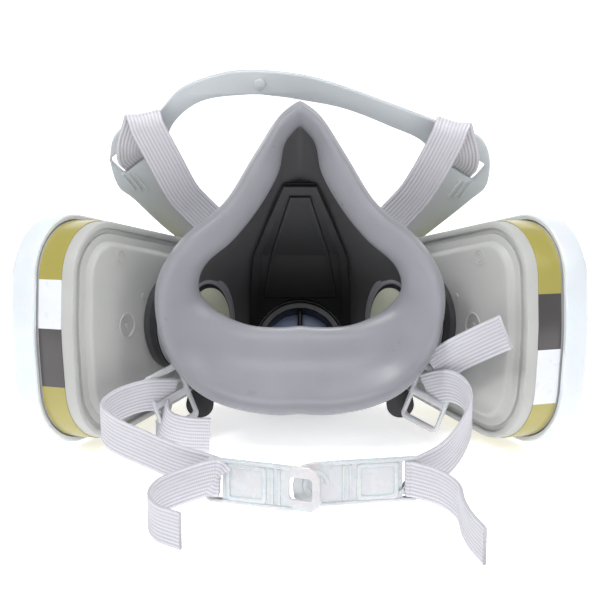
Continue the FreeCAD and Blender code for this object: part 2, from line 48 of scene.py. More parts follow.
CAMERA_AIM = (0, 0, 55.6)
CAMERA_LIFT = math.radians(15.0)
CAMERA_DISTANCE = 0.65
CAMERA_LENS = 111.4
WORLD_COLOUR = (0.96, 0.97, 1.0, 1)
WORLD_STRENGTH = 0.27
# Name, place in metres, size in metres and power in watts. Each one faces the origin.
LIGHTS = (("key", (-0.55, -0.4, 0.8), 0.3, 4.2), ("fill", (0.75, -0.35, 0.6), 0.4, 2.2),
          ("top", (0.0, -0.05, 0.95), 0.22, 4.2), ("front", (0.05, -1.0, 0.55), 0.45, 2.6))
STAGE_REACH = 4.0
STAGE_HEIGHT = 3.0
FLOOR_GAP = 0.05
WHITE = (1, 1, 1, 1)


def at(p):
    return Vector((p[0], p[1], p[2] - SEAL_HEIGHT)) * MM


# ---- camera, lights and floor ----
def make_camera():
    camera = bpy.data.objects.new("camera", bpy.data.cameras.new("camera"))
    camera.data.sensor_width = 36.0
    camera.data.lens = CAMERA_LENS
    camera.data.clip_start = 0.05
    away = Vector((0, -math.cos(CAMERA_LIFT), math.sin(CAMERA_LIFT)))
    camera.location = at(CAMERA_AIM) + away * CAMERA_DISTANCE
    camera.rotation_euler = (math.radians(90) - CAMERA_LIFT, 0, 0)
    scene.collection.objects.link(camera)
    scene.camera = camera


def area_light(name, place, size, power):
    light = bpy.data.objects.new(name, bpy.data.lights.new(name, "AREA"))
    light.data.shape = "SQUARE"
    light.data.size = size
    light.data.energy = power
    light.location = Vector(place)
    light.rotation_euler = (-Vector(place)).to_track_quat("-Z", "Y").to_euler()
    scene.collection.objects.link(light)


def stage_plane(name, corners, material):
    mesh = bpy.data.meshes.new(name)
    mesh.from_pydata(corners, [], [(0, 1, 2, 3)])
    plane = bpy.data.objects.new(name, mesh)
    plane.data.materials.append(material)
    scene.collection.objects.link(plane)


def make_studio():
    world = bpy.data.worlds.new("studio")
    world.use_nodes = True
    background = world.node_tree.nodes["Background"]
    background.inputs[0].default_value = WORLD_COLOUR
    background.inputs[1].default_value = WORLD_STRENGTH
    scene.world = world
    scene.view_settings.view_transform = "Standard"
    for light in LIGHTS:
        area_light(*light)
    low = at((0, 0, -FLOOR_GAP)).z
    left, right = -STAGE_REACH, STAGE_REACH
    floor = Shader("studio_floor", (0.93, 0.93, 0.93), 0.7, Emission_Color=WHITE, Emission_Strength=0.55)
    backdrop = Shader("backdrop", (0.9, 0.9, 0.9), 0.8, Emission_Color=WHITE, Emission_Strength=0.9)
    stage_plane("floor", [(left, left, low), (right, left, low), (right, right, low), (left, right, low)],
                floor.material)
    stage_plane("backdrop", [(left, right, low), (right, right, low), (right, right, low + STAGE_HEIGHT),
                             (left, right, low + STAGE_HEIGHT)], backdrop.material)


# ---- materials ----
# Noise values mostly fall between these two.
NOISE_LOW = 0.3
NOISE_HIGH = 0.7


class Shader:
    """A Principled material with a few helpers for procedural detail."""

    def __init__(self, name, colour, rough, **sockets):
        self.material = bpy.data.materials.new(name)
        self.material.use_nodes = True
        self.tree = self.material.node_tree
        self.bsdf = self.tree.nodes["Principled BSDF"]
        self.bsdf.inputs["Base Color"].default_value = (*colour, 1)
        self.bsdf.inputs["Roughness"].default_value = rough
        for key, value in sockets.items():
            self.bsdf.inputs[key.replace("_", " ")].default_value = value
        self.colour = colour
        self.rough = rough
        self.coords = self.node("ShaderNodeTexCoord").outputs["Object"]
        self.normal = None

    def node(self, kind, **values):
        made = self.tree.nodes.new(kind)
        for key, value in values.items():
            if key in made.inputs:
                made.inputs[key].default_value = value
            else:
                setattr(made, key, value)
        return made

    def link(self, out, into):
        self.tree.links.new(out, into)

    def noise(self, scale, detail=4.0, rough=0.55):
        made = self.node("ShaderNodeTexNoise", Scale=scale, Detail=detail, Roughness=rough)
        self.link(self.coords, made.inputs["Vector"])
        return made.outputs["Fac"]

    def ramp(self, fac, stops):
        made = self.node("ShaderNodeValToRGB")
        ramp = made.color_ramp
        while len(ramp.elements) < len(stops):
            ramp.elements.new(0.5)
        for element, (place, colour) in zip(ramp.elements, stops):
            element.position = place
            element.color = (*colour, 1)
        self.link(fac, made.inputs[0])
        return made.outputs[0]

    def mottle(self, scale, spread):
        """Vary the base colour between darker and lighter by spread."""
        dark = [c * (1 - spread) for c in self.colour]
        light = [min(1.0, c * (1 + spread)) for c in self.colour]
        self.link(self.ramp(self.noise(scale), [(NOISE_LOW, dark), (NOISE_HIGH, light)]),
                  self.bsdf.inputs["Base Color"])
        return self

    def polish(self, scale, spread):
        """Vary the roughness by spread."""
        span = self.node("ShaderNodeMapRange")
        span.inputs["From Min"].default_value = NOISE_LOW
        span.inputs["From Max"].default_value = NOISE_HIGH
        span.inputs["To Min"].default_value = max(0.03, self.rough - spread)
        span.inputs["To Max"].default_value = min(1.0, self.rough + spread)
        self.link(self.noise(scale, 5.0), span.inputs["Value"])
        self.link(span.outputs[0], self.bsdf.inputs["Roughness"])
        return self

    def bump(self, height, strength, distance):
        made = self.node("ShaderNodeBump", Strength=strength, Distance=distance)
        self.link(height, made.inputs["Height"])
        if self.normal is not None:
            self.link(self.normal, made.inputs["Normal"])
        self.normal = made.outputs["Normal"]
        self.link(self.normal, self.bsdf.inputs["Normal"])
        return self

    def grain(self, scale, strength, distance):
        return self.bump(self.noise(scale, 3.0), strength, distance)


def elastomer(name, colour, rough):
    """Moulded grey elastomer: fine matt grain, faint dust and handling marks."""
    shader = Shader(name, colour, rough, Specular_IOR_Level=0.45, Sheen_Weight=0.12, Sheen_Roughness=0.4)
    shader.mottle(38.0, 0.07).polish(140.0, 0.07)
    return shader.grain(2600.0, 0.22, 0.00012).grain(420.0, 0.1, 0.0003)


def moulded(name, colour, rough, **sockets):
    """Smooth moulded plastic with a faint spark-eroded texture."""
    shader = Shader(name, colour, rough, **sockets)
    return shader.mottle(55.0, 0.035).polish(260.0, 0.05).grain(3200.0, 0.12, 0.00008)


def webbing_material():
    """Elastic webbing: lengthwise cords crossed by fine weft, from the piece's own u and v."""
    shader = Shader("webbing", (0.60, 0.59, 0.64), 0.86, Sheen_Weight=0.25, Sheen_Roughness=0.5)
    uv = shader.node("ShaderNodeUVMap", uv_map="run").outputs[0]
    cords = shader.node("ShaderNodeTexWave", Scale=2.55, bands_direction="X", wave_profile="SIN")
    weft = shader.node("ShaderNodeTexWave", Scale=4.6, bands_direction="Y", wave_profile="SIN",
                       Distortion=1.2)
    weft.inputs["Detail Scale"].default_value = 6.0
    for wave in (cords, weft):
        shader.link(uv, wave.inputs["Vector"])
    mixed = shader.node("ShaderNodeMix", data_type="FLOAT", Factor=0.24)
    shader.link(cords.outputs["Fac"], mixed.inputs[2])
    shader.link(weft.outputs["Fac"], mixed.inputs[3])
    fuzz = shader.node("ShaderNodeMix", data_type="FLOAT", Factor=0.3)
    shader.link(mixed.outputs[0], fuzz.inputs[2])
    shader.link(shader.noise(1500.0, 6.0, 0.7), fuzz.inputs[3])
    tones = [(0.15, (0.44, 0.43, 0.47)), (0.45, (0.58, 0.57, 0.62)), (0.8, (0.68, 0.67, 0.72))]
    shader.link(shader.ramp(fuzz.outputs[0], tones), shader.bsdf.inputs["Base Color"])
    shader.bump(mixed.outputs[0], 0.55, 0.00025)
    return shader.grain(3800.0, 0.3, 0.00015)


def felt_material():
    shader = Shader("filter_felt", (0.84, 0.84, 0.82), 0.95, Sheen_Weight=0.4)
    return shader.mottle(260.0, 0.06).grain(2400.0, 0.5, 0.0004).grain(500.0, 0.3, 0.0005)


def charcoal_material():
    shader = Shader("charcoal", (0.02, 0.02, 0.022), 0.8)
    cells = shader.node("ShaderNodeTexVoronoi", Scale=900.0)
    shader.link(shader.coords, cells.inputs["Vector"])
    return shader.mottle(700.0, 0.6).bump(cells.outputs["Distance"], 0.8, 0.0006)


MATERIALS = {}


def make_materials():
    made = {
        "grey_elastomer": elastomer("grey_elastomer", (0.27, 0.272, 0.30), 0.34),
        # Much darker copy of the grey elastomer: painted shade for the unlit hollow inside the facepiece, not
        # a different rubber.
        "elastomer_painted_shade": elastomer("elastomer_painted_shade", (0.085, 0.083, 0.088), 0.55),
        "black_plastic": moulded("black_plastic", (0.018, 0.018, 0.02), 0.42),
        "pale_silicone": elastomer("pale_silicone", (0.60, 0.62, 0.50), 0.5),
        "blue_silicone": elastomer("blue_silicone", (0.13, 0.19, 0.40), 0.32),
        "gasket_rubber": elastomer("gasket_rubber", (0.05, 0.05, 0.055), 0.6),
        "clear_plastic": moulded("clear_plastic", (0.60, 0.615, 0.635), 0.27, Subsurface_Weight=0.3,
                                 Subsurface_Scale=0.002, Coat_Weight=0.3),
        "webbing": webbing_material(),
        "cradle_plastic": moulded("cradle_plastic", (0.52, 0.555, 0.58), 0.4, Coat_Weight=0.1),
        "cartridge_plastic": moulded("cartridge_plastic", (0.46, 0.465, 0.45), 0.5),
        "label_olive": moulded("label_olive", (0.36, 0.315, 0.075), 0.33, Coat_Weight=0.4),
        "label_white": moulded("label_white", (0.74, 0.76, 0.80), 0.3, Coat_Weight=0.3),
        "label_dark": moulded("label_dark", (0.055, 0.05, 0.052), 0.33, Coat_Weight=0.4),
        "charcoal": charcoal_material(),
        "filter_felt": felt_material(),
        "white_plastic": moulded("white_plastic", (0.70, 0.745, 0.785), 0.34, Coat_Weight=0.15,
                                 Subsurface_Weight=0.25, Subsurface_Scale=0.004),
    }
    for name, shader in made.items():
        MATERIALS[name] = shader.material


# ---- mesh helpers ----
MERGE_DISTANCE = 1e-6


def clean(mesh, merge=True):
    """Merge doubled vertices and turn every face outward."""
    work = bmesh.new()
    work.from_mesh(mesh)
    if merge:
        bmesh.ops.remove_doubles(work, verts=work.verts, dist=MERGE_DISTANCE)
    bmesh.ops.recalc_face_normals(work, faces=work.faces)
    work.to_mesh(mesh)
    work.free()


def placed(name, mesh, angle):
    """Object for a mesh, in the scene and shaded smooth."""
    piece = bpy.data.objects.new(name, mesh)
    scene.collection.objects.link(piece)
    smooth(piece, angle)
    return piece


def new_piece(name, verts, faces, materials, face_slots=None):
    mesh = bpy.data.meshes.new(name)
    mesh.from_pydata([at(v) for v in verts], [], faces)
    for material in materials:
        mesh.materials.append(MATERIALS[material])
    if face_slots:
        mesh.polygons.foreach_set("material_index", face_slots)
    clean(mesh)
    return placed(name, mesh, 38.0)


def smooth(piece, angle):
    """Shade smooth, with sharp edges past an angle."""
    mesh = piece.data
    work = bmesh.new()
    work.from_mesh(mesh)
    for face in work.faces:
        face.smooth = True
    for edge in work.edges:
        sharp = len(edge.link_faces) == 2 and edge.calc_face_angle(0) > math.radians(angle)
        edge.smooth = not sharp
    work.to_mesh(mesh)
    work.free()


def bake_modifiers(piece):
    """Replace the mesh with its evaluated one and drop the modifiers."""
    graph = bpy.context.evaluated_depsgraph_get()
    mesh = bpy.data.meshes.new_from_object(piece.evaluated_get(graph))
    piece.modifiers.clear()
    piece.data = mesh
    return piece


def subdivide(piece):
    piece.modifiers.new("subdivide", "SUBSURF").levels = 1
    return bake_modifiers(piece)


def carve(piece, cutters):
    """Boolean difference with each cutter, which is then removed."""
    for cutter in cutters:
        modifier = piece.modifiers.new("carve", "BOOLEAN")
        modifier.object = cutter
        modifier.operation = "DIFFERENCE"
        modifier.solver = "EXACT"
    bpy.context.view_layer.update()
    bake_modifiers(piece)
    for cutter in cutters:
        bpy.data.objects.remove(cutter)
    return piece


def join(pieces):
    """Join meshes into the first one."""
    work = bmesh.new()
    first = pieces[0]
    for piece in pieces:
        work.from_mesh(piece.data)
    work.to_mesh(first.data)
    work.free()
    for piece in pieces[1:]:
        bpy.data.objects.remove(piece)
    return first


def strips(loops, closed_ends=(False, False)):
    """Vertices and quads between closed loops of equal length, with a fan at a closed end."""
    count = len(loops[0])
    verts = [v for loop in loops for v in loop]
    faces = []
    for i in range(len(loops) - 1):
        for k in range(count):
            nxt = (k + 1) % count
            faces.append((i * count + k, i * count + nxt, (i + 1) * count + nxt, (i + 1) * count + k))
    for end, closed in zip((0, len(loops) - 1), closed_ends):
        if closed:
            middle = sum((Vector(v) for v in loops[end]), Vector()) / count
            verts.append(middle)
            for k in range(count):
                faces.append((end * count + k, end * count + (k + 1) % count, len(verts) - 1))
    return verts, faces


def catmull(points, steps):
    """Smooth curve through points, with steps places from each one to the next."""
    padded = [points[0] * 2 - points[1]] + list(points) + [points[-1] * 2 - points[-2]]
    curve = []
    for i in range(1, len(padded) - 2):
        a, b, c, d = padded[i - 1:i + 3]
        for k in range(steps):
            t = k / steps
            curve.append((b * 2 + (c - a) * t + (a * 2 - b * 5 + c * 4 - d) * t * t
                          + (b * 3 - a - c * 3 + d) * t * t * t) * 0.5)
    curve.append(points[-1])
    return curve


def dress(piece, body, slot, *nodes):
    """Ride on a body and stand for CAD nodes, which are hidden; slot is not used."""
    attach(piece, body)
    if nodes:
        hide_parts(*nodes)
    return piece


def circle(centre, axis, reach, radius, count):
    """Loop round an axis, at a distance along it from the centre."""
    axis = Vector(axis).normalized()
    side = axis.orthogonal().normalized()
    other = axis.cross(side)
    middle = Vector(centre) + axis * reach
    angles = [2 * math.pi * k / count for k in range(count)]
    return [middle + side * (radius * math.cos(a)) + other * (radius * math.sin(a)) for a in angles]


def cylinder(name, centre, axis, near, far, radius, count=96):
    """Round solid along an axis, as a cutter or a small part."""
    loops = [circle(centre, axis, reach, radius, count) for reach in (near, far)]
    verts, faces = strips(loops, (True, True))
    return new_piece(name, verts, faces, ["grey_elastomer"])


def turned(name, centre, axis, profile, material, count=96):
    """Lathed ring: profile is (radius, distance along the axis), closed on itself."""
    loops = [circle(centre, axis, reach, radius, count) for radius, reach in profile + [profile[0]]]
    verts, faces = strips(loops)
    return new_piece(name, verts, faces, [material])


# ---- driving places of the ports and cartridges ----
def cartridge_axes():
    """Outward axis of the left cartridge, and the two directions across its face."""
    sweep, tilt, slope = math.radians(32), math.radians(6), math.radians(7.5)
    level_out = Vector((-math.cos(sweep), math.sin(sweep), 0))
    forward = Vector((math.sin(sweep), math.cos(sweep), 0))
    up = Vector((0, 0, 1))
    outward = level_out * math.cos(tilt) - up * math.sin(tilt)
    rise = up * math.cos(tilt) + level_out * math.sin(tilt)
    along = forward * math.cos(slope) - rise * math.sin(slope)
    across = rise * math.cos(slope) + forward * math.sin(slope)
    return outward, along, across


PORT = Vector((-47.0, 33.0, 38.9))
PORT_BORE = 14.1
OUT, ALONG, ACROSS = cartridge_axes()
EXHALE = Vector((0, 50, 23))
EXHALE_BORE = 17.6
EXHALE_DROP = math.radians(25)
BLOW = Vector((0, math.cos(EXHALE_DROP), -math.sin(EXHALE_DROP)))


def on_side(v, side):
    """Left-hand place or direction as it is for side -1, mirrored for side 1."""
    return Vector((v[0] if side < 0 else -v[0], v[1], v[2]))


def side_port(side):
    """Port centre and outward axis on a side."""
    return on_side(PORT, side), on_side(OUT, side)


def in_plane(x, y):
    """Direction across the left cartridge's face from its own x and y."""
    return ALONG * x + ACROSS * y


# ---- facepiece ----
SEAL_EDGE = [(0, 124.2), (7.6, 118.3), (17, 104), (27.3, 88), (41.4, 76.6), (50.2, 62.8),
             (51, 48.3), (46.5, 33.8), (37.6, 23), (25.7, 16.8), (10.3, 13.9), (0, 14.3)]
OPENING = [(0, 114.6), (5.4, 108), (7.4, 98), (14.4, 85.7), (23.5, 74.4), (33, 66.4),
           (35.9, 58.5), (33, 52.6), (26, 47.6), (17, 44.4), (7, 43.8), (0, 44.4)]
BODY = {
    14: [(0, 119), (8, 110), (15, 99), (24, 86), (35, 73), (43, 60),
         (45, 46), (42, 33), (32, 22.5), (20, 15.5), (9, 12), (0, 11)],
    30: [(0, 102), (7, 97), (13, 90), (20, 79), (28, 68), (36, 56),
         (40, 44), (38, 31), (31, 21), (20, 13), (9, 9), (0, 8)],
    45: [(0, 84), (5, 81), (10, 75), (15, 68), (21, 60), (26, 51),
         (28, 41), (27, 31), (23, 21), (16, 13.5), (8, 10.5), (0, 10)],
    54: [(0, 67), (4, 65.5), (8, 62), (12, 56), (16, 49), (18, 42),
         (18, 34), (17, 28), (14, 22), (10, 18), (5, 16.2), (0, 16)],
}
WALL = 3.0
CUP_TOP = 50.0
CUP_REACH = 22.0
# Raised ring round each port inside: (radius, distance along the port's axis).
PORT_BOSS = [(14.1, -16.0), (14.6, -16.4), (15.2, -16.3), (15.6, -15.7), (16.2, -15.6), (16.7, -15.9),
             (17.5, -15.8), (18.3, -15.2), (18.6, -14.2), (18.6, -7.0), (18.2, -6.3), (14.1, -6.3)]


def mix(a, b, share):
    """Outline part of the way from a to b."""
    return [p * (1 - share) + q * share for p, q in zip(a, b)]


def shrink(half, amount):
    """Outline drawn in toward its middle."""
    middle = Vector((0, 0, (half[0].z + half[-1].z) / 2))
    return [middle + (p - middle) * (((p - middle).length - amount) / (p - middle).length) for p in half]


def ring(half, depth, lean, cup=0.0):
    """Closed outline at a depth, leaning with height; cup pushes the chin and cheeks in."""
    def place(p, side):
        low = min(1.0, max(0.0, (CUP_TOP - p.z) / CUP_REACH))
        pushed = depth + cup * low * low * (3 - 2 * low) + lean * (p.z - SEAL_HEIGHT)
        return Vector((p.x * side, pushed, p.z))
    return [place(p, 1) for p in half] + [place(p, -1) for p in reversed(half[1:-1])]


def facepiece():
    """Thick elastomer shell: rolled seal, chin cup, tapering nose and hollow inside."""
    def half(points):
        return catmull([Vector((x, 0, z)) for x, z in points], 4)
    edge, opening = half(SEAL_EDGE), half(OPENING)
    body = {y: half(BODY[y]) for y in BODY}
    lean = SEAL_LEAN
    outside = [(shrink(body[54], 9), 54.4, 0), (shrink(body[54], 3), 54.0, 0), (body[54], 52.6, 0),
               (mix(body[54], body[45], 0.5), 49.6, 0), (body[45], 45, 0),
               (mix(body[45], body[30], 0.5), 37.8, 0), (body[30], 30, 0),
               (mix(body[30], body[14], 0.5), 22, 0.01), (body[14], 14.5, 0.03),
               (mix(body[14], shrink(edge, 4.5), 0.6), 11.5, 0.1), (shrink(edge, 2.2), 8.9, lean),
               (shrink(edge, 0.5), 6.4, lean), (edge, 3.6, lean)]
    rolled = [(shrink(edge, 0.7), 0.9, lean), (mix(edge, opening, 0.09), -0.9, lean),
              (mix(edge, opening, 0.18), -1.7, lean), (mix(edge, opening, 0.3), -1.2, lean, 2.0),
              (mix(edge, opening, 0.46), 0.4, lean, 4.4), (mix(edge, opening, 0.64), 2.2, lean, 5.0),
              (mix(edge, opening, 0.82), 4.4, lean, 3.4), (mix(edge, opening, 0.93), 6.4, lean, 1.0),
              (mix(edge, opening, 0.985), 8.2, lean), (opening, 9.0, lean)]
    inner = {y: shrink(body[y], WALL) for y in (30, 45, 54)}
    inner[14] = shrink(body[14], WALL + 3)
    inside = [(mix(edge, opening, 0.97), 10.4, lean), (mix(opening, inner[14], 0.5), 13.6, 0.08),
              (inner[14], 18, 0.03),
              (mix(inner[14], inner[30], 0.5), 23.5, 0.01), (inner[30], 29, 0),
              (mix(inner[30], inner[45], 0.5), 36, 0), (inner[45], 42.6, 0),
              (inner[54], 50.0, 0), (shrink(inner[54], 6), 50.8, 0)]
    loops = [ring(*stage) for stage in outside + rolled + inside]
    verts, faces = strips(loops, (True, True))
    count = len(loops[0])
    outer_faces = (len(outside) + len(rolled) - 1) * count
    # Faces past the rolled seal line the hollow and take the darker elastomer copy, which is painted shade.
    slots = [0 if k < outer_faces else 1 for k in range(len(faces))]
    # The fan that closes the outside comes last but one.
    slots[-2 * count:-count] = [0] * count
    materials = ["grey_elastomer", "elastomer_painted_shade"]
    piece = subdivide(new_piece("facepiece_shell", verts, faces, materials, slots))
    cutters = [cylinder("bore", *side_port(side), -30, 0, PORT_BORE) for side in (-1, 1)]
    cutters.append(cylinder("vent", EXHALE, BLOW, -20, 20, EXHALE_BORE))
    carve(piece, cutters)
    rings = [turned("boss", *side_port(side), PORT_BOSS, "grey_elastomer") for side in (-1, 1)]
    join([piece] + rings)
    smooth(piece, 50)
    dress(piece, "facepiece", "grey_elastomer", "facepiece")


# ---- centre adapter ----
# Depth and height of the bent plate's top, bend and foot.
PANEL_TOP = (33.5, 91)
PANEL_BEND = (42.0, 62)
PANEL_FOOT = (48.2, 33)
PANEL_THICK = 2.0
BORDER_FOOT = 1.5
BORDER_ROUND = 0.3
ARCH = 17.0
SPOKE_REACH = 14.4
# Sections round the exhalation valve's axis: (radius, distance along it).
VALVE_SEAT = [(14.0, -8.0), (14.4, -8.5), (16.2, -8.5), (16.7, -9.3), (17.2, -9.3), (17.5, -8.8), (17.5, 7.6),
              (17.2, 8.0), (16.2, 8.0), (15.8, 7.6), (15.8, 5.0), (14.4, 5.0), (14.0, 4.6)]
VALVE_HUB = [(0.01, -2.2), (1.8, -2.2), (2.2, -1.8), (2.2, 0.0), (0.01, 0.2)]


def on_panel(x, z, lift):
    """Point on the centre adapter's bent plate, lifted toward the wearer."""
    upper, lower = (PANEL_TOP, PANEL_BEND) if z > PANEL_BEND[1] else (PANEL_BEND, PANEL_FOOT)
    share = (upper[1] - z) / (upper[1] - lower[1])
    return Vector((x, upper[0] + (lower[0] - upper[0]) * share - lift, z))


def both_sides(half):
    """Outline of (x, z) from its right half, listed downward."""
    return half + [(-x, z) for x, z in reversed(half)]


def inset_line(line, amount):
    middle_x = sum(x for x, _ in line) / len(line)
    middle_z = sum(z for _, z in line) / len(line)
    return [(x - math.copysign(amount, x - middle_x), z - math.copysign(amount, z - middle_z))
            for x, z in line]


def raised_frame(outer, inner, high):
    """Raised border between two outlines of (x, z) on the plate."""
    edge = high - BORDER_ROUND
    stages = ((outer, BORDER_FOOT), (outer, edge), (inset_line(outer, BORDER_ROUND), high),
              (inset_line(inner, -BORDER_ROUND), high), (inner, edge), (inner, BORDER_FOOT),
              (outer, BORDER_FOOT))
    verts, faces = strips([[on_panel(x, z, lift) for x, z in line] for line, lift in stages])
    return new_piece("frame", verts, faces, ["black_plastic"])


def flat_plate(corners):
    loops = [[on_panel(x, z, lift) for x, z in corners] for lift in (0.0, PANEL_THICK)]
    verts, faces = strips(loops, (True, True))
    return new_piece("plate", verts, faces, ["black_plastic"])


def center_adapter():
    """Bent front plate with raised borders, arched over the exhalation valve's seat and spokes."""
    outer = both_sides([(6.2, 90), (12, 76), (17.5, 62), (18.6, 48), (19, 34)])
    inner = both_sides([(4.6, 87.4), (9.8, 75), (14.9, 61.6), (15.8, 48), (16, 37)])
    panel = both_sides([(3.8, 85.6), (7.4, 74), (10.8, 62), (13.4, 48), (13.6, 45)])
    well = both_sides([(2.8, 84.2), (6.2, 73.4), (9.6, 61.8), (12.2, 49), (12.2, 46.4)])
    upper = flat_plate(both_sides([(6.2, PANEL_TOP[1]), (17.5, PANEL_BEND[1])]))
    lower = flat_plate(both_sides([(17.5, PANEL_BEND[1]), (19, PANEL_FOOT[1])]))
    arched = [lower, raised_frame(outer, inner, 4.2), raised_frame(panel, well, 3.0)]
    for part in arched:
        carve(part, [cylinder("arch", EXHALE, BLOW, -30, 8, ARCH)])
    middle = EXHALE - BLOW
    spokes = [cylinder("spoke", middle, across, -SPOKE_REACH, SPOKE_REACH, 0.9, 20)
              for across in (RIGHT, BLOW.cross(RIGHT))]
    seat = turned("seat", EXHALE, BLOW, VALVE_SEAT, "black_plastic")
    hub = turned("hub", EXHALE, BLOW, VALVE_HUB, "black_plastic", 40)
    piece = join(arched + [upper, seat] + spokes + [hub])
    piece.data.materials.clear()
    piece.data.materials.append(MATERIALS["black_plastic"])
    piece.name = "center_adapter_frame"
    smooth(piece, 30)
    dress(piece, "facepiece", "black_plastic", "center_adapter")


# ---- cartridges ----
# Left cartridge's outline round its port: corner x, y and corner radius.
CORNERS = [(-56.0, 0.0, 90.0), (-53.0, -42.5, 20.0), (26.0, -27.0, 14.0), (26.0, 27.0, 14.0),
           (-53.0, 42.5, 20.0)]


def flat_outline(inset, arc_steps, line_steps):
    """Points round the cartridge's outline, moved in by inset, in its own plane."""
    moved = []
    for i, (x, y, radius) in enumerate(CORNERS):
        before, after = CORNERS[i - 1], CORNERS[(i + 1) % len(CORNERS)]
        d1 = Vector((x - before[0], y - before[1])).normalized()
        d2 = Vector((after[0] - x, after[1] - y)).normalized()
        n1, n2 = Vector((-d1.y, d1.x)), Vector((-d2.y, d2.x))
        moved.append((Vector((x, y)) + (n1 + n2) * (inset / (1 + n1.dot(n2))), max(radius - inset, 1.0)))
    arcs = []
    for i, (point, radius) in enumerate(moved):
        before = (moved[i - 1][0] - point).normalized()
        after = (moved[(i + 1) % len(moved)][0] - point).normalized()
        half = before.angle(after) / 2
        centre = point + (before + after).normalized() * (radius / math.sin(half))
        start = point + before * (radius / math.tan(half)) - centre
        sweep = math.pi - 2 * half
        arcs.append([centre + Matrix.Rotation(sweep * k / arc_steps, 2) @ start
                     for k in range(arc_steps + 1)])
    points = []
    for i, arc in enumerate(arcs):
        points += arc
        far = arcs[(i + 1) % len(arcs)][0]
        points += [arc[-1].lerp(far, k / line_steps) for k in range(1, line_steps)]
    return points


ANGLES = sorted(math.atan2(p.y, p.x) for p in flat_outline(4.0, 9, 15))


def by_angle(inset):
    """Outline points at the shared angles round the port's axis."""
    dense = flat_outline(inset, 40, 60)
    known = sorted((math.atan2(p.y, p.x), p.length) for p in dense)
    turn = 2 * math.pi
    known = [(known[-1][0] - turn, known[-1][1])] + known + [(known[0][0] + turn, known[0][1])]
    points = []
    k = 0
    for angle in ANGLES:
        while known[k + 1][0] < angle:
            k += 1
        (a0, r0), (a1, r1) = known[k], known[k + 1]
        share = (angle - a0) / max(a1 - a0, 1e-9)
        radius = r0 + (r1 - r0) * share
        points.append(Vector((math.cos(angle), math.sin(angle))) * radius)
    return points


OUTLINES = {}


def outline(inset):
    """Outline points at the shared angles, worked out once for each inset."""
    if inset not in OUTLINES:
        OUTLINES[inset] = by_angle(inset)
    return OUTLINES[inset]


def level(inset, height, side):
    """One loop of the cartridge's outline at a height along its axis."""
    return [on_side(PORT + in_plane(p.x, p.y) + OUT * height, side) for p in outline(inset)]


def round_level(radius, height, side):
    """One round loop at a height along the cartridge's axis."""
    return [on_side(PORT + in_plane(math.cos(a), math.sin(a)) * radius + OUT * height, side) for a in ANGLES]


def profile_piece(name, profile, side, materials, face_slots=None):
    """Closed ring whose section is a list of ("o", inset, height) or ("c", radius, height)."""
    loops = []
    for kind, size, height in profile + [profile[0]]:
        maker = level if kind == "o" else round_level
        loops.append(maker(size, height, side))
    verts, faces = strips(loops)
    return new_piece(name, verts, faces, materials, face_slots)


LID = [("c", 14.4, 9.0), ("c", 14.4, 0.5), ("c", 14.6, 0.12), ("c", 15.1, 0.0), ("c", 18.0, 0.0),
       ("o", 12.0, 0.0), ("o", 9.4, 0.0), ("o", 8.6, 0.12), ("o", 8.1, 0.5), ("o", 7.3, 1.7), ("o", 6.9, 2.1),
       ("o", 6.3, 2.2), ("o", 4.7, 2.2), ("o", 4.3, 2.35), ("o", 4.2, 2.8), ("o", 4.1, 3.2), ("o", 2.6, 3.2),
       ("o", 2.4, 3.0), ("o", 2.35, 2.2), ("o", 2.1, 1.9), ("o", 1.6, 1.8), ("o", 0.7, 1.85),
       ("o", 0.2, 2.15), ("o", 0.0, 2.8), ("o", 0.0, 6.0), ("o", 1.4, 6.0), ("o", 1.5, 5.2),
       ("c", 18.8, 5.2), ("c", 18.8, 9.0)]
RETAINER = [("o", -0.4, 24.6), ("o", -0.4, 18.0), ("o", -0.7, 17.5), ("o", -1.9, 17.4), ("o", -2.4, 17.8),
            ("o", -2.5, 18.6), ("o", -2.5, 25.6), ("o", -2.3, 26.6), ("o", -1.6, 27.3), ("o", -0.6, 27.5),
            ("o", 3.2, 27.5), ("o", 4.1, 27.7), ("o", 4.5, 28.4), ("o", 6.1, 34.2), ("o", 6.7, 35.2),
            ("o", 7.8, 35.5), ("o", 13.6, 35.5), ("o", 14.3, 35.2), ("o", 14.5, 34.4), ("o", 14.2, 33.7),
            ("o", 9.0, 33.5), ("o", 7.6, 32.6), ("o", 6.0, 28.0), ("o", 5.4, 26.2), ("o", 1.0, 25.5)]
FELT = [("c", 0.4, 25.4), ("c", 14.0, 25.3), ("o", 10.0, 25.2), ("o", 4.0, 25.0), ("o", 2.2, 24.5),
        ("o", 1.2, 24.0), ("o", 1.0, 23.4), ("o", 1.4, 22.6), ("o", 4.0, 22.45), ("c", 14.0, 22.45),
        ("c", 0.4, 22.45)]
LABEL_INSET = -0.3
LABEL_FILM = [("o", 0.02, 6.7), ("o", -0.28, 6.7), ("o", LABEL_INSET, 6.9), ("o", LABEL_INSET, 16.6),
              ("o", -0.28, 16.8), ("o", 0.02, 16.8)]
# Lower edge and material slot of each colour block on a side's wide end, from the top down.
LABEL_BLOCKS = {-1: [(19.5, 0), (1.8, 1), (-18.5, 2), (-99, 0)],
                1: [(14.5, 0), (-5.5, 2), (-23.5, 1), (-99, 0)]}
WIDE_END = -30
# Small marks on the lid, in the cartridge's own x and y.
DIMPLE = (-27, 1)
DIMPLE_RIM = [(3.9, 0.1), (4.0, -0.16), (4.35, -0.22), (4.7, -0.14), (4.85, 0.1)]
DIMPLE_DOT = [(0.01, 0.8), (1.0, 0.8), (1.15, 0.6), (1.0, 0.32), (0.01, 0.25)]
MARK = (-30, 25.5)
INDEX_DOT = [(0.01, -0.25), (0.7, -0.22), (0.95, 0.0), (0.95, 0.3), (0.01, 0.3)]
INDEX_RADIUS = 20.6
INDEX_STEP = 2.094
INDEX_START = 0.5
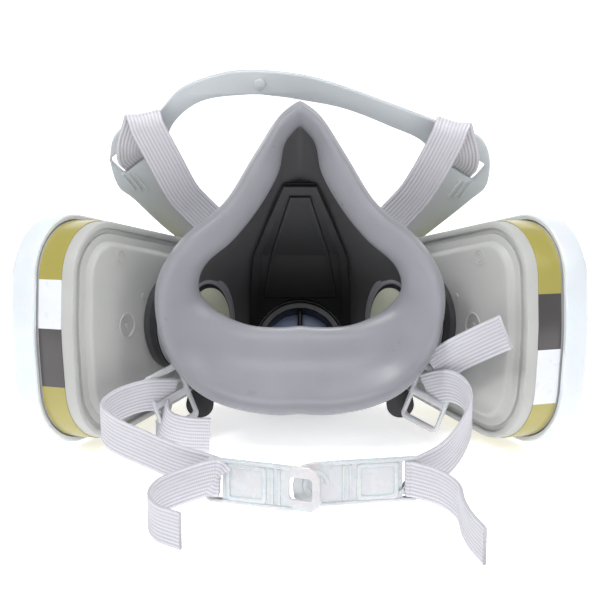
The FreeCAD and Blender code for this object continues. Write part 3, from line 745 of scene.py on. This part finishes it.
# Grille bars across the retainer: place along its length, and half length.
GRILLE = ((-36.0, 25.0), (-24.0, 22.5), (-12.0, 20.0), (0.0, 17.0), (8.0, 15.5))
BAR_LOW = 33.9
BAR_HIGH = 35.3


def lid(side, body, node):
    """Cartridge's face with stepped rim, dimple, plain mark and three index dots."""
    piece = profile_piece(node + "_shell", LID, side, ["cartridge_plastic"])
    out = on_side(OUT, side)
    dimple = on_side(PORT + in_plane(*DIMPLE), side)
    carve(piece, [cylinder("dimple", dimple, out, -1.5, 0.75, 3.9, 48)])
    smooth(piece, 34)
    extras = [turned("dimple_rim", dimple, out, DIMPLE_RIM, "cartridge_plastic", 48),
              turned("dimple_dot", dimple, out, DIMPLE_DOT, "cartridge_plastic", 32)]
    mark = on_side(PORT + in_plane(*MARK), side)
    for radius in (2.3, 1.1):
        section = [(radius, 0.1), (radius, -0.14), (radius + 0.3, -0.2), (radius + 0.6, -0.14),
                   (radius + 0.6, 0.1)]
        extras.append(turned("mark", mark, out, section, "cartridge_plastic", 40))
    for k in range(3):
        angle = k * INDEX_STEP + INDEX_START
        dot = on_side(PORT + in_plane(math.cos(angle), math.sin(angle)) * INDEX_RADIUS, side)
        extras.append(turned("index", dot, out, INDEX_DOT, "cartridge_plastic", 24))
    join([piece] + extras)
    dress(piece, body, "cartridge_plastic", node)


def label(side, body, node):
    """Thin wrapped film with plain colour blocks across the wide end."""
    points = outline(LABEL_INSET)
    row = []
    for k, point in enumerate(points):
        middle = (point + points[(k + 1) % len(points)]) / 2
        blocks = LABEL_BLOCKS[side] if middle.x <= WIDE_END else [(-99, 0)]
        row.append(next(slot for low, slot in blocks if middle.y > low))
    materials = ["label_olive", "label_white", "label_dark"]
    piece = profile_piece(node + "_film", LABEL_FILM, side, materials, row * len(LABEL_FILM))
    smooth(piece, 30)
    dress(piece, body, "label_film", node)


def retainer(side, body, node):
    """Translucent white snap-on frame, with a grille over the prefilter."""
    piece = profile_piece(node + "_frame", RETAINER, side, ["white_plastic"])
    smooth(piece, 34)
    bars = [bar((x, -reach), (x, reach), 1.9, side) for x, reach in GRILLE]
    bars.append(bar((-43.5, 0), (15.0, 0), 2.3, side))
    join([piece] + bars)
    dress(piece, body, "white_plastic", node)


def bar(start, end, width, side):
    """Rounded bar across the retainer's face, between two points in the cartridge's plane."""
    a, b = Vector(start), Vector(end)
    run = (b - a).normalized()
    cross = Vector((-run.y, run.x)) * (width / 2)
    section = [(-1, BAR_LOW), (-1, BAR_HIGH - 0.4), (-0.7, BAR_HIGH - 0.08), (-0.3, BAR_HIGH),
               (0.3, BAR_HIGH), (0.7, BAR_HIGH - 0.08), (1, BAR_HIGH - 0.4), (1, BAR_LOW)]
    loops = [[on_side(PORT + in_plane(*(point + cross * s)) + OUT * height, side) for s, height in section]
             for point in (a, b)]
    verts, faces = strips(loops, (True, True))
    return new_piece("bar", verts, faces, ["white_plastic"])


def prefilter(side, body, node):
    """Felted pad, slightly crowned, with a pressed edge."""
    piece = profile_piece(node + "_felt", FELT, side, ["filter_felt"])
    dress(piece, body, "filter_felt", node)


# ---- webbing ----
UPPER_LEFT = [((-29, 48.2, 67.4), (1, 0, 0)), ((-29, 48.2, 64.6), (1, 0, 0)),
              ((-29, 46, 63.4), (1, 0, 0)), ((-29, 43.8, 64.6), (1, 0, 0)),
              ((-29.1, 43.2, 67.4), (1, 0, 0)), ((-30.6, 43.2, 71), (0.97, 0, 0.18)),
              ((-34, 43, 75), (0.9, 0, 0.34)), ((-38.6, 42, 80), (0.9, 0, 0.4)),
              ((-43.2, 39.8, 86), (0.93, 0, 0.37)), ((-48.8, 36, 98), (0.95, 0, 0.3)),
              ((-54.4, 33.2, 110), (0.98, 0, 0.15)), ((-55.9, 33.7, 114.2), (0.98, 0, 0.16)),
              ((-57, 36.6, 114.8), (0.96, 0, 0.24)), ((-58.6, 39.2, 110), (0.88, 0, 0.45)),
              ((-61.1, 42.2, 102), (0.77, -0.14, 0.61)),
              ((-61.4, 46.5, 98.2), (0.757, -0.23, 0.61)), ((-59.9, 51.9, 95), (0.757, -0.16, 0.62)),
              ((-56, 55.8, 87.5), (0.78, 0, 0.6)), ((-52, 59.2, 79.5), (0.83, 0, 0.55)),
              ((-49, 61.2, 74), (0.85, 0, 0.5))]
UPPER_RIGHT = [((29, 48.2, 67.4), (1, 0, 0)), ((29, 48.2, 64.6), (1, 0, 0)),
               ((29, 46, 63.4), (1, 0, 0)), ((29, 43.8, 64.6), (1, 0, 0)),
               ((29.1, 43.2, 67.4), (1, 0, 0)), ((30.6, 43.2, 71), (0.97, 0, -0.18)),
               ((34, 43, 75), (0.9, 0, -0.34)), ((38.4, 42, 80), (0.9, 0, -0.4)),
               ((42.8, 39.8, 86), (0.93, 0, -0.37)), ((48, 36, 96), (0.94, 0, -0.32)),
               ((53, 33.4, 107), (0.96, 0, -0.24)), ((54.6, 34, 111.2), (0.97, 0, -0.22)),
               ((55.8, 37, 111.8), (0.95, 0, -0.3)), ((57.4, 39.6, 107), (0.88, 0, -0.46)),
               ((59.6, 43.2, 99), (0.82, 0.14, -0.55)),
               ((59.7, 47.6, 95.2), (0.814, 0.206, -0.543)), ((58.4, 53, 92), (0.82, 0.16, -0.55)),
               ((55.4, 56.6, 85.5), (0.83, 0, -0.55)), ((52.3, 59.6, 79), (0.85, 0, -0.52)),
               ((49.8, 61.4, 74), (0.85, 0, -0.5))]
LOWER_LEFT = [((-45.5, 8.6, 18), (0.3, 0.1, 0.95)), ((-55, 0, 20.5), (0.25, 0, 0.97)),
              ((-64, -11, 20.5), (0.1, 0, 1)), ((-68, -22, 19), (0, 0, 1)),
              ((-63.5, -31, 17), (0.1, 0, 1)), ((-53, -38, 14.5), (0.1, 0, 1)),
              ((-41, -44, 11.5), (0.05, 0, 1)), ((-29.6, -48.4, 9.6), (0, 0, 1)),
              ((-27.3, -49.7, 9), (0, 0, 1)), ((-26.7, -51.4, 8.6), (0, 0, 1))]
LOWER_RIGHT = [((45.5, 8.6, 20), (-0.3, 0.1, 0.95)), ((52, 0.5, 24), (-0.2, 0, 0.97)),
               ((57, -11, 25), (-0.1, 0, 1)), ((58.5, -23, 22.5), (0, 0, 1)),
               ((55, -33.5, 17), (0, 0, 1)), ((48, -42, 11.5), (0, 0, 1)),
               ((37.6, -48.2, 8.3), (0, 0, 1)), ((35.9, -49.3, 8.4), (0, 0, 1)),
               ((35.2, -50.5, 8.4), (0, 0, 1))]
SHORT_LEFT = [((-49.5, 6.6, 12.5), (0.3, 0, 0.9)), ((-48, 0, 9), (0.3, 0, 0.95)),
              ((-41, -3.5, 7.6), (0.1, 0, 1)), ((-32, -3, 6.9), (0, 0, 1))]
SHORT_RIGHT = [((48, 5.5, 29), (-0.35, 0, 0.93)), ((55, -1.5, 36), (-0.35, 0, 0.93)),
               ((64, -10, 43.5), (-0.25, 0, 0.96)), ((70, -19.5, 49.5), (-0.15, 0, 0.98))]
TAIL_LEFT = [((-26.6, -51.9, 8.6), (0, 0, 1)), ((-27.2, -53.1, 9), (0, 0, 1)),
             ((-29, -53.4, 9.6), (0, 0, 1)), ((-38, -57, 8), (0, 0, 1)),
             ((-45.5, -64, 7), (0, 0, 1)), ((-48, -74, 6.5), (0, 0, 1)),
             ((-45, -84.5, 6.3), (0, 0, 1)), ((-37, -92, 6.3), (0, 0, 1))]
TAIL_RIGHT = [((35.1, -50.9, 8.4), (0, 0, 1)), ((35.7, -52.1, 8.4), (0, 0, 1)),
              ((37.6, -52.4, 8.3), (0, 0, 1)), ((46, -57, 7.2), (0, 0, 1)),
              ((51, -67, 6.5), (0, 0, 1)), ((51.5, -80, 6.3), (0, 0, 1)),
              ((53, -92, 6.3), (0, 0, 1)), ((56, -104, 6.3), (0, 0, 1))]
WEB_WIDTH = 12.3
WEB_THICK = 1.25
WEB_EDGE = 0.07
CORDS = 9
RIB_DEPTH = 0.14
WEB_STEPS = 7


def ribbon(name, stops):
    """Ribbed webbing through stops of (centre, width direction), with u and v in centimetres."""
    centres = catmull([Vector(s[0]) for s in stops], WEB_STEPS)
    widths = catmull([Vector(s[1]) for s in stops], WEB_STEPS)
    across_count = CORDS * 4
    loops, lengths = [], []
    travelled = 0.0
    for i, centre in enumerate(centres):
        along = centres[min(i + 1, len(centres) - 1)] - centres[max(i - 1, 0)]
        along.normalize()
        across = (widths[i] - along * widths[i].dot(along)).normalized()
        normal = along.cross(across).normalized()
        if i:
            travelled += (centre - centres[i - 1]).length
        lengths.append(travelled)
        loop = []
        for face, span in ((1, range(across_count + 1)), (-1, range(across_count, -1, -1))):
            for k in span:
                u = k / across_count * 2 - 1
                rib = 0.5 + 0.5 * math.cos(2 * math.pi * CORDS * k / across_count)
                edge = max(0.0, (abs(u) - 1 + WEB_EDGE) / WEB_EDGE)
                lift = WEB_THICK / 2 * (1 - 0.45 * edge * edge) - RIB_DEPTH * rib * (1 - edge)
                loop.append(centre + across * (u * WEB_WIDTH / 2) + normal * (lift * face))
        loops.append(loop)
    verts, faces = strips(loops, (True, True))
    count = len(loops[0])
    mesh = bpy.data.meshes.new(name)
    mesh.from_pydata([at(v) for v in verts], [], faces)
    mesh.materials.append(MATERIALS["webbing"])
    layer = mesh.uv_layers.new(name="run")
    for corner in mesh.loops:
        index = corner.vertex_index
        if index >= count * len(loops):
            layer.data[corner.index].uv = (0, 0)
            continue
        k = index % count
        k = k if k <= across_count else 2 * across_count + 1 - k
        layer.data[corner.index].uv = (k / across_count * WEB_WIDTH / 10, lengths[index // count] / 10)
    clean(mesh, merge=False)
    return placed(name, mesh, 60)


# ---- flat moulded plates: cradle, sliders and buckle ----
def plate(name, outlines, thick, bevel, place, material):
    """Flat part from an outer outline and its holes, with rounded edges, set by a matrix."""
    curve = bpy.data.curves.new(name, "CURVE")
    curve.dimensions = "2D"
    curve.fill_mode = "BOTH"
    curve.extrude = thick / 2 - bevel
    curve.bevel_depth = bevel
    curve.bevel_resolution = 2
    curve.offset = -bevel
    for points in outlines:
        spline = curve.splines.new("POLY")
        spline.points.add(len(points) - 1)
        for target, point in zip(spline.points, points):
            target.co = (point[0], point[1], 0, 1)
        spline.use_cyclic_u = True
    source = bpy.data.objects.new(name + "_curve", curve)
    scene.collection.objects.link(source)
    graph = bpy.context.evaluated_depsgraph_get()
    mesh = bpy.data.meshes.new_from_object(source.evaluated_get(graph))
    bpy.data.objects.remove(source)
    mesh.name = name
    for vertex in mesh.vertices:
        vertex.co = at(place @ vertex.co)
    mesh.materials.clear()
    mesh.materials.append(MATERIALS[material])
    clean(mesh)
    return placed(name, mesh, 45)


def rounded(x0, y0, x1, y1, radius, steps=6):
    """Rounded rectangle, anticlockwise."""
    points = []
    for cx, cy, start in ((x1 - radius, y0 + radius, -90), (x1 - radius, y1 - radius, 0),
                          (x0 + radius, y1 - radius, 90), (x0 + radius, y0 + radius, 180)):
        for k in range(steps + 1):
            a = math.radians(start + 90 * k / steps)
            points.append((cx + radius * math.cos(a), cy + radius * math.sin(a)))
    return points


def frame_matrix(origin, x_axis, y_axis):
    """Matrix that sets a plate's own x and y along two directions."""
    z_axis = Vector(x_axis).cross(Vector(y_axis))
    made = Matrix((x_axis, y_axis, z_axis)).transposed().to_4x4()
    made.translation = origin
    return made


CRADLE_ORIGIN = Vector((0, 64, 52))
CRADLE_UP = Vector((0, -0.355, 0.935))
CRADLE_BACK = Vector((0, 0.935, 0.355))
CRADLE_OUTER = [(0, 129.4), (-15.9, 131), (-28.5, 129.8), (-43, 124), (-53, 113.5), (-66, 108),
                (-70, 98), (-68, 86), (-62, 80), (-51, 68), (-37, 56), (-22, 48.4), (0, 48),
                (22, 48.4), (37, 56), (51, 68), (64, 80), (69.5, 86), (70, 97), (66, 105),
                (58, 108.2), (36.5, 116.8), (14.8, 125.2)]
CRADLE_INNER = [(0, 120), (-9, 121.4), (-19, 122), (-35.8, 119.4), (-46.6, 110), (-49, 98),
                (-48.5, 84), (-42.5, 73), (-29, 63), (-18, 57), (0, 56.8), (18, 57), (29, 63),
                (42.5, 73), (48.5, 82), (49, 92), (45.5, 103), (33, 109.6), (16, 116.6)]
# Slots: x, height and slope.
SLOTS = ((-61.9, 98.2, 0.75), (60.2, 95.2, -0.62))
SLOT_LONG = 15.0
SLOT_WIDE = 8.2
LEAN_STRETCH = 1.15
GRIP_LONG = 8.8
GRIP_WIDE = 0.9
GRIP_STEP = 2.3
STUD = [(0.01, 1.5), (1.4, 1.45), (2.0, 1.15), (2.2, 0.5), (2.2, -0.3), (0.01, -0.3)]


def cradle_local(x, height):
    """Place in the cradle's own plane for an x and a height above the table."""
    return Vector((x, (height - CRADLE_ORIGIN.z) / CRADLE_UP.z))


def looped(points):
    """Closed smooth curve through points."""
    steps = 6
    ends = points[-2:] + points + points[:3]
    dense = catmull([Vector(p) for p in ends], steps)
    return dense[2 * steps:(2 + len(points)) * steps]


def tilted_pad(centre, along, long, wide, radius, steps=6):
    """Rounded rectangle round a centre, with its length along a direction."""
    cross = Vector((-along.y, along.x))
    corners = rounded(-long / 2, -wide / 2, long / 2, wide / 2, radius, steps)
    return [centre + along * x + cross * y for x, y in corners]


def head_cradle():
    """Flat ring with slotted paddles, grip ridges below the slots, and a stud."""
    place = frame_matrix(CRADLE_ORIGIN + CRADLE_BACK * 0.9, RIGHT, CRADLE_UP)
    lifted = frame_matrix(CRADLE_ORIGIN - CRADLE_BACK * 0.1, RIGHT, CRADLE_UP)
    outlines = [looped([cradle_local(x, z) for x, z in line]) for line in (CRADLE_OUTER, CRADLE_INNER)]
    ribs = []
    for x, z, lean in SLOTS:
        centre = cradle_local(x, z)
        outlines.append(tilted_pad(centre, Vector((1, lean * LEAN_STRETCH)).normalized(),
                                   SLOT_LONG, SLOT_WIDE, 1.2))
        side = -1 if x < 0 else 1
        slant = Vector((side * 0.5, 0.86)).normalized()
        for k in range(3):
            middle = centre + Vector((GRIP_STEP * (k - 1) - side * 0.5, -11.5))
            cap = tilted_pad(middle, slant, GRIP_LONG, GRIP_WIDE, 0.4, 4)
            ribs.append(plate("grip", [cap], 0.9, 0.3, lifted, "cradle_plastic"))
    piece = plate("head_cradle_band", outlines, 1.8, 0.55, place, "cradle_plastic")
    stud_x, stud_y = cradle_local(-14.5, 126.4)
    stud_at = CRADLE_ORIGIN + RIGHT * stud_x + CRADLE_UP * stud_y
    stud = turned("stud", stud_at, -CRADLE_BACK, STUD, "cradle_plastic", 40)
    join([piece, stud] + ribs)
    dress(piece, "cradle", "cradle_plastic", "head_cradle")


SLIDER_PLACE = Vector((-42.5, 7.0, 7.0))
SLIDER_LEAN = math.radians(-20)
SLIDER_TURN = math.radians(32)
UPRIGHT = Vector((0, 0, 1))


def slider(side, body, node):
    """Translucent three-bar slider with rounded bars."""
    matrix = (Matrix.Translation(SLIDER_PLACE) @ Matrix.Rotation(SLIDER_LEAN, 4, "Y")
              @ Matrix.Rotation(SLIDER_TURN, 4, "Z") @ frame_matrix(Vector(), RIGHT, UPRIGHT))
    if side > 0:
        matrix = Matrix.Scale(-1, 4, RIGHT) @ matrix
    outlines = [rounded(-7.75, 0, 7.75, 22, 2.4)]
    outlines += [rounded(-6.4, low, 6.4, low + 7.4, 1.0) for low in (2.2, 12.4)]
    piece = plate(node + "_frame", outlines, 2.6, 0.8, matrix, "clear_plastic")
    dress(piece, body, "clear_plastic", node)


BUCKLE_HEIGHT = 15.4
WEBBING_SLOT = (3.4, 1.3, 6.4, 14.1, 0.7)


def hook_line(length):
    """Outline of the clasp's hook half."""
    top = BUCKLE_HEIGHT
    return [(0.6, 0.6), (2.2, 0), (24.5, 0), (25.6, 0.9), (26.8, 0.1), (length - 7.5, 0.1),
            (length - 3.0, 0.9), (length - 0.4, 3.6), (length, 7.5), (length - 0.8, top - 3.0),
            (length - 3.5, top - 0.8), (length - 8, top), (2.2, top), (0.6, top - 0.8), (0, top / 2)]


def loop_line(length):
    """Outline of the clasp's loop half."""
    top = BUCKLE_HEIGHT
    return [(0.6, 0.6), (2.2, 0), (22.0, 0), (23.0, 1.0), (24.2, 0.2), (length - 3, 0.2), (length - 0.5, 1.8),
            (length, 4), (length, top - 3.5), (length - 1.2, top - 1.2), (length - 4, top), (2.2, top),
            (0.6, top - 0.8), (0, top / 2)]


def curl_line(length):
    """Curled hook at the end of the hook half, out along one arc and back along a smaller one."""
    turns = [math.radians(-60 + 13.5 * k) for k in range(19)]
    middle = (length - 7.6, 7.8)
    out = [(middle[0] + 4.6 * math.cos(a), middle[1] + 4.9 * math.sin(a)) for a in turns]
    back = [(middle[0] + 2.9 * math.cos(a), middle[1] + 3.2 * math.sin(a)) for a in reversed(turns)]
    return out + back


def buckle(start, end, length, hook, body, node):
    """Clear clasp half: webbing end, recessed window, raised rims and its hook or loop."""
    run = Vector((end[0] - start[0], end[1] - start[1], 0)).normalized()
    place = frame_matrix(Vector(start), run, UPRIGHT)
    holes = [rounded(*WEBBING_SLOT)]
    if not hook:
        holes.append(rounded(length - 10.5, 3.9, length - 2.6, 11.5, 1.4))
    line = hook_line(length) if hook else loop_line(length)
    panel = plate(node + "_plate", [line] + holes, 1.3, 0.35, place, "clear_plastic")
    # Outlines, thickness and bevel of what stands proud of the panel.
    raised = [([rounded(7.6, 1.2, 21.8, 14.2, 1.5), rounded(9.2, 2.8, 20.2, 12.6, 1.0)], 2.3, 0.45)]
    raised += [([rounded(1.6, foot, length - 9.5, foot + 1.1, 0.5)], 2.4, 0.4) for foot in (0.2, 14.1)]
    raised += [([rounded(x - 0.45, 1.4, x + 0.45, 14.0, 0.4)], 2.1, 0.3) for x in (23.9, 26.2)]
    if hook:
        raised.append(([curl_line(length)], 2.2, 0.4))
    extras = [plate("raised", lines, thick, bevel, place, "clear_plastic") for lines, thick, bevel in raised]
    join([panel] + extras)
    dress(panel, body, "clear_plastic", node)


# ---- carried-over CAD nodes ----
CARRIED = {"harness_yoke": "black_plastic", "exhalation_valve": "blue_silicone",
           "exhalation_valve_cover": "black_plastic"}
CARRIED_PAIRS = {"inhalation_port": "black_plastic", "inhalation_valve": "pale_silicone",
                 "port_gasket": "gasket_rubber", "cartridge_body": "cartridge_plastic",
                 "charcoal_bed": "charcoal", "outer_screen": "cartridge_plastic",
                 "inner_filter_disc": "filter_felt"}


def carry_over():
    """Give each CAD node that stays its own material."""
    kept = dict(CARRIED)
    for name, material in CARRIED_PAIRS.items():
        for side in ("left", "right"):
            kept[name + "_" + side] = material
    for node, material in kept.items():
        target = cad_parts[node]
        target.data.materials.clear()
        target.data.materials.append(MATERIALS[material])


# ---- build ----
make_camera()
make_materials()
make_studio()
carry_over()
facepiece()
center_adapter()
for side, word in ((-1, "left"), (1, "right")):
    lid(side, "cartridge_" + word, "cartridge_lid_" + word)
    label(side, "cartridge_" + word, "cartridge_label_" + word)
    retainer(side, "retainer_" + word, "retainer_" + word)
    prefilter(side, "retainer_" + word, "prefilter_pad_" + word)
    slider(side, "neck_strap_" + word, "strap_slider_" + word)
head_cradle()
for name, runs, body, node in (
        ("upper_left", [UPPER_LEFT], "upper_harness", "upper_strap_left"),
        ("upper_right", [UPPER_RIGHT], "upper_harness", "upper_strap_right"),
        ("lower_left", [LOWER_LEFT, SHORT_LEFT, TAIL_LEFT], "neck_strap_left", "lower_strap_left"),
        ("lower_right", [LOWER_RIGHT, SHORT_RIGHT, TAIL_RIGHT], "neck_strap_right", "lower_strap_right")):
    webs = [ribbon(name + "_webbing_" + str(i), run) for i, run in enumerate(runs)]
    for i, web in enumerate(webs):
        dress(web, body, "webbing", *([node] if i == 0 else []))
buckle((-31.5, -50.4, 0.5), (6, -62.6, 0.5), 40.0, False, "neck_strap_left", "buckle_loop")
buckle((40, -50.0, 0.5), (-2, -57.2, 0.5), 43.0, True, "neck_strap_right", "buckle_hook")
